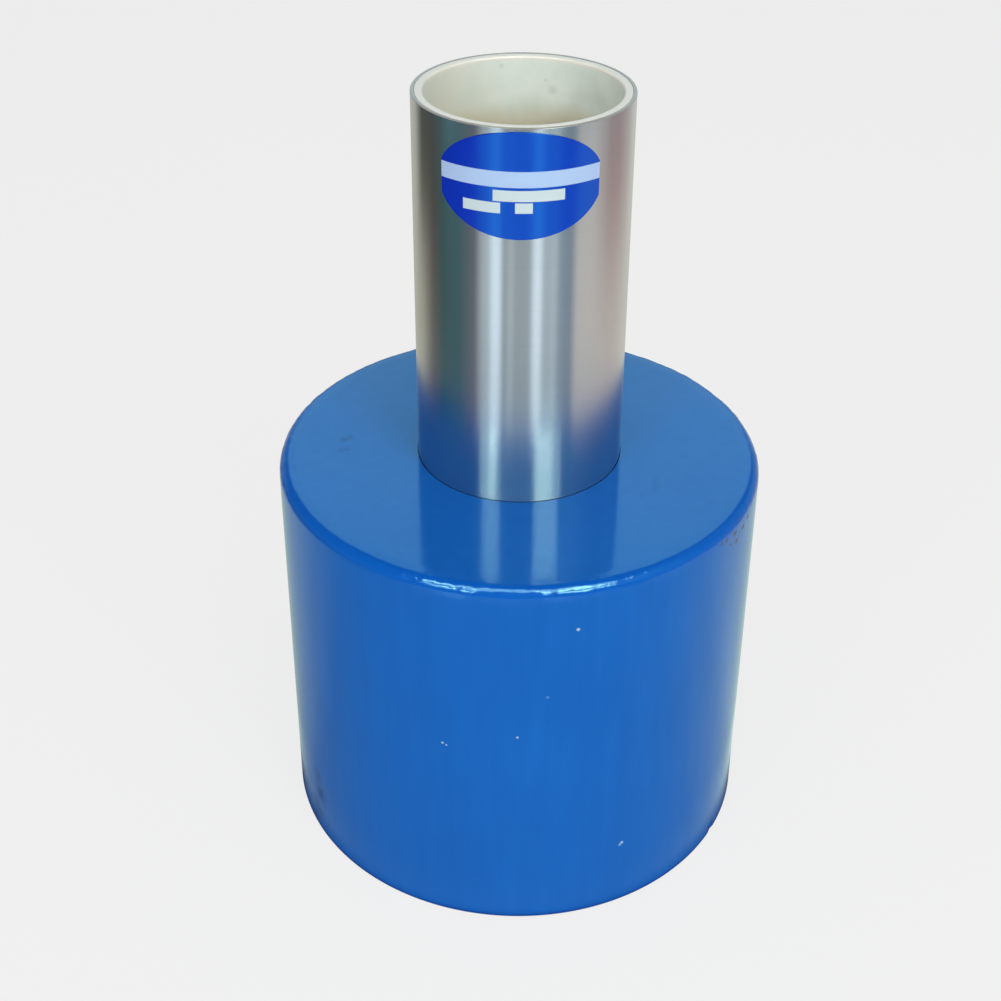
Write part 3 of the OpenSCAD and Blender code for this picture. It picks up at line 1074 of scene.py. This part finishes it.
def make_floor():
    """Plain pale floor, which the camera sees as the background with a faint shadow."""
    half = FLOOR_SIDE / 2
    corners = [(-half, -half, 0), (half, -half, 0), (half, half, 0), (-half, half, 0)]
    mesh = bpy.data.meshes.new("floor")
    mesh.from_pydata(corners, [], [(0, 1, 2, 3)])
    floor = bpy.data.objects.new("floor", mesh)
    bpy.context.scene.collection.objects.link(floor)
    material = bpy.data.materials.new("floor")
    tree = emptied_tree(material)
    path = tree.nodes.new("ShaderNodeLightPath").outputs
    place = tree.nodes.new("ShaderNodeNewGeometry").outputs["Position"]
    own_light = BACKGROUND * (1 - SHADOW_SHARE)
    glow = add_node(tree, "ShaderNodeEmission", {"Color": WHITE, "Strength": own_light}).outputs[0]
    share = BACKGROUND * SHADOW_SHARE / FLOOR_LIGHT
    shaded = add_node(tree, "ShaderNodeBsdfDiffuse", {"Color": (share, share, share, 1)}).outputs[0]
    seen = add_node(tree, "ShaderNodeAddShader", {0: glow, 1: shaded}).outputs[0]
    bounce = add_node(tree, "ShaderNodeBsdfDiffuse", {"Color": FLOOR_PALE}).outputs[0]
    colour, strength = mirrored_floor(tree, place)
    cards = add_node(tree, "ShaderNodeEmission", {"Color": colour, "Strength": strength}).outputs[0]
    plain = blend_shader(tree, path["Is Camera Ray"], bounce, seen)
    surface = blend_shader(tree, path["Is Glossy Ray"], plain, cards)
    add_node(tree, "ShaderNodeOutputMaterial", {"Surface": surface})
    mesh.materials.append(material)


WORLD_LIGHT = 0.45
ROOM_STARTS = (0.15, 0.40)  # sines of the elevations between which the horizon gives way to the room
ROOM_ENDS = (0.72, 0.85)  # and the room to what is overhead
OVERHEAD = (0.03, 0.03, 0.04, 1)


def make_world():
    """Even light from above. Glossy surfaces see a room that is paler near the horizon."""
    world = bpy.data.worlds.new("studio")
    bpy.context.scene.world = world
    tree = emptied_tree(world)
    path = tree.nodes.new("ShaderNodeLightPath").outputs
    x, y, z = split(tree, tree.nodes.new("ShaderNodeTexCoord").outputs["Generated"])
    azimuth = azimuth_of(tree, x, y)
    horizon = round_ramp(tree, azimuth, tinted(HORIZON, ROOM_TINT))
    room = round_ramp(tree, azimuth, tinted(ROOM, ROOM_TINT))
    room = blend_colour(tree, ramp(tree, z, *ROOM_STARTS), horizon, room)
    room = blend_colour(tree, ramp(tree, z, *ROOM_ENDS), room, OVERHEAD)

    def background(colour, strength):
        return add_node(tree, "ShaderNodeBackground", {"Color": colour, "Strength": strength}).outputs[0]

    plain = blend_shader(
        tree, path["Is Camera Ray"], background(WHITE, WORLD_LIGHT), background(WHITE, BACKGROUND))
    surface = blend_shader(tree, path["Is Glossy Ray"], plain, background(room, 1.0))
    add_node(tree, "ShaderNodeOutputWorld", {"Surface": surface})


# Lamps: degrees from -Y towards +X, elevation, distance, width and height in metres, and watts. Softboxes
# light matt surfaces. Windows are only mirrored: the tube mirrors its own, and every other piece the rest.
SOFTBOX_WHITE = (1.0, 1.0, 0.93)
WINDOW_WHITE = (0.97, 1.0, 0.88)
TUBE_WINDOW_WHITE = (0.70, 1.0, 0.95)
SOFTBOXES = {
    "softbox_front": (0, 20, 1.4, 1.2, 0.9, 1.0),
    "softbox_left": (-30, 31, 1.3, 0.4, 0.4, 2.8),
    "softbox_right": (33, 31, 1.3, 0.4, 0.4, 4.9),
    "softbox_high": (8, 60, 1.3, 0.80, 0.34, 3.0),
}
WINDOWS = {
    "window_left": (-27.5, 33.5, 1.3, 0.15, 0.18, 1.3),
    "window_left_wide": (-30.5, 33.5, 1.3, 0.42, 0.18, 2.1),
    "window_left_high": (-38, 48, 1.3, 0.28, 0.22, 2.8),
    "window_right": (28.5, 33.5, 1.3, 0.34, 0.18, 2.6),
    "window_right_wide": (32.5, 33.5, 1.3, 0.56, 0.18, 3.0),
    "window_right_high": (31, 50, 1.3, 0.40, 0.22, 4.6),
    "window_high": (10, 58, 1.3, 1.40, 0.46, 14.0),
}
TUBE_WINDOWS = {
    "tube_window_left": (-29, 33, 1.3, 0.36, 0.20, 1.8),
    "tube_window_right": (31, 33, 1.3, 0.50, 0.20, 3.2),
}


def make_lamp(name, colour, azimuth, elevation, distance, width, height, watts):
    """Area lamp that faces the middle of the block."""
    middle = Vector((0, 0, BLOCK_TOP / 2))
    out = direction(azimuth, elevation)
    data = bpy.data.lights.new(name, "AREA")
    data.shape = "RECTANGLE"
    data.size = width
    data.size_y = height
    data.energy = watts
    data.color = colour
    lamp = bpy.data.objects.new(name, data)
    bpy.context.scene.collection.objects.link(lamp)
    turn = out.to_track_quat("Z", "Y").to_matrix().to_4x4()
    lamp.matrix_world = Matrix.Translation(middle + out * distance) @ turn
    return lamp


def make_softboxes():
    """Lamps that light matt surfaces, and that no mirror image shows."""
    for name, settings in SOFTBOXES.items():
        lamp = make_lamp(name, SOFTBOX_WHITE, *settings)
        lamp.visible_glossy = False


def make_windows(windows, colour, pieces):
    """Lamps that only the mirror image in some of the pieces shows."""
    mirroring = bpy.data.collections.new("mirroring")
    for piece in pieces:
        mirroring.objects.link(piece)
    for name, settings in windows.items():
        lamp = make_lamp(name, colour, *settings)
        lamp.visible_diffuse = False
        lamp.light_linking.receiver_collection = mirroring


bpy.context.scene.view_settings.view_transform = "Standard"
make_camera()
make_floor()
make_world()
make_softboxes()

PIECES = [
    (make_block, "anvil", "anvil_block", "blue_enamel"),
    (make_core, "anvil", "striking_core", "hardened_steel"),
    (make_bolt, "anvil", "core_bolt", "black_oxide_steel"),
    (make_washer, "anvil", "core_lock_washer", "spring_steel"),
    (make_grip_ring, "grip", "grip_ring", "black_rubber"),
    (make_tube, "guide", "guide_tube", "brushed_stainless"),
    (make_liner, "guide", "guide_liner", "cream_plastic"),
    (make_nameplate, "guide", "nameplate", "printed_foil"),
]
pieces = {}
for make, body, node_name, slot_name in PIECES:
    piece = make()
    pieces[node_name] = piece
    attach(piece, body)
    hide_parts(node_name)
tube = pieces.pop("guide_tube")
make_windows(WINDOWS, WINDOW_WHITE, pieces.values())
make_windows(TUBE_WINDOWS, TUBE_WINDOW_WHITE, [tube])
